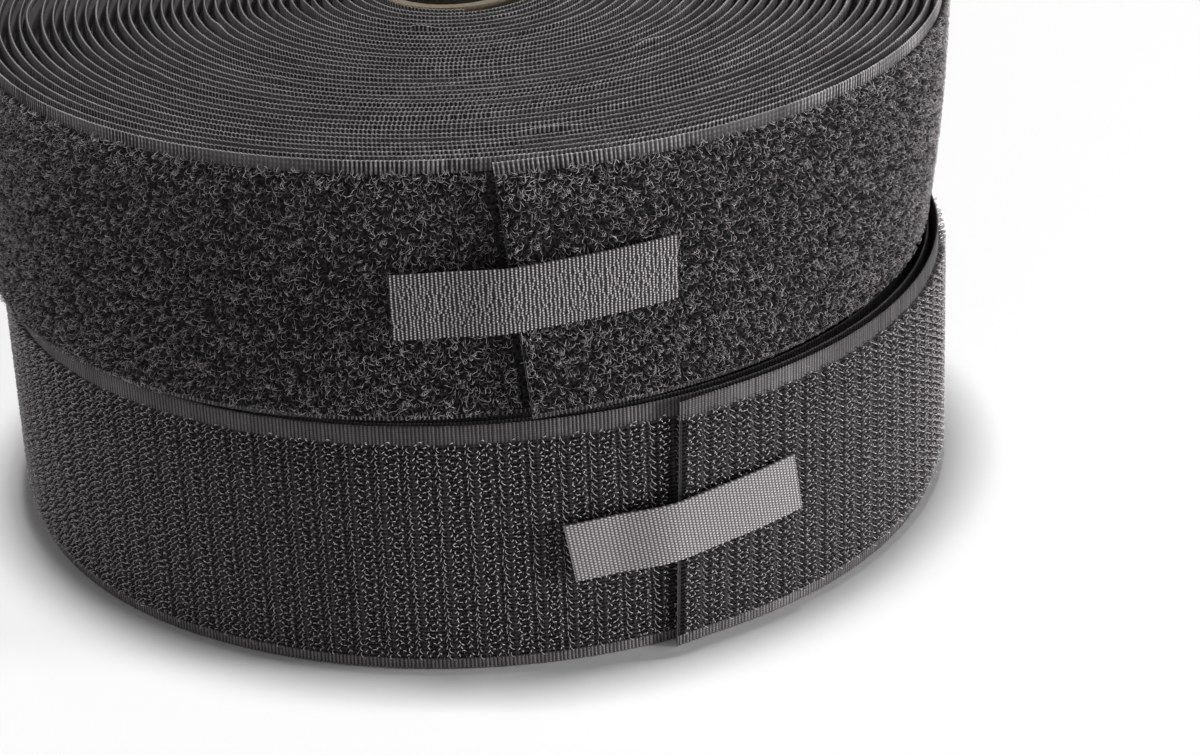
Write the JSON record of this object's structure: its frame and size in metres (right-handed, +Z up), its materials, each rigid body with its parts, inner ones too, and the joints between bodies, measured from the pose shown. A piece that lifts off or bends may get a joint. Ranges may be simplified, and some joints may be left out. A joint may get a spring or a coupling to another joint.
{
  "type": "hook and loop tape roll",
  "caption": "Roll of loop tape standing on a roll of hook tape, each wound on a cardboard core, its free end held down by a short peel-off closure strip.",
  "frame": {"origin": "on the table, under the middle of the stack and the axis of the lower roll's core", "axes": "+Z up along the cores; -Y towards the side where the free ends and the closure strips lie; +X to the right seen from there"},
  "size_m": [0.1909, 0.194, 0.1002],
  "materials": {
    "card": "matte",
    "hook_ground": "woven nylon, matte",
    "hook_face": "stiff monofilament hooks",
    "hook_strip": "plain weave, matte",
    "loop_ground": "woven nylon, matte",
    "loop_face": "curled loop pile",
    "loop_strip": "ribbed weave, matte"
  },
  "bodies": {
    "hook_roll": {"hook_core": "card", "hook_winding": "hook_ground", "hook_hooks": "hook_face"},
    "hook_free_end": {"hook_tail": "hook_ground", "hook_tail_hooks": "hook_face"},
    "hook_closure": {"hook_strip": "hook_strip", "hook_strip_grip": "loop_face"},
    "loop_roll_core": {"loop_core": "card"},
    "loop_roll": {"loop_winding": "loop_ground", "loop_pile": "loop_face"},
    "loop_free_end": {"loop_tail": "loop_ground", "loop_tail_pile": "loop_face"},
    "loop_closure": {"loop_strip": "loop_strip", "loop_strip_grip": "hook_face"}
  },
  "joints": [
    {"name": "hook_end_peel", "type": "hinge", "parent": "hook_roll", "child": "hook_free_end", "pos_m": [0.08153, -0.04974, 0.025], "axis": [0, 0, 1], "range_deg": [0, 70]},
    {"name": "hook_strip_peel", "type": "hinge", "parent": "hook_free_end", "child": "hook_closure", "pos_m": [0.05743, -0.07775, 0.0277], "axis": [-0.0547, -0.0404, 0.9977], "range_deg": [0, 110]},
    {"name": "loop_lift", "type": "slide", "parent": "hook_roll", "child": "loop_roll_core", "axis": [0, 0, 1], "range_m": [0, 0.12]},
    {"name": "loop_turn", "type": "hinge", "parent": "loop_roll_core", "child": "loop_roll", "pos_m": [-0.0012, 0.002, 0.0752], "axis": [0, 0, 1], "continuous": true},
    {"name": "loop_end_peel", "type": "hinge", "parent": "loop_roll", "child": "loop_free_end", "pos_m": [0.06609, -0.0675, 0.0752], "axis": [0, 0, 1], "range_deg": [0, 70]},
    {"name": "loop_strip_peel", "type": "hinge", "parent": "loop_free_end", "child": "loop_closure", "pos_m": [0.03581, -0.08862, 0.07664], "axis": [-0.0307, -0.0125, 0.9995], "range_deg": [0, 110]}
  ]
}
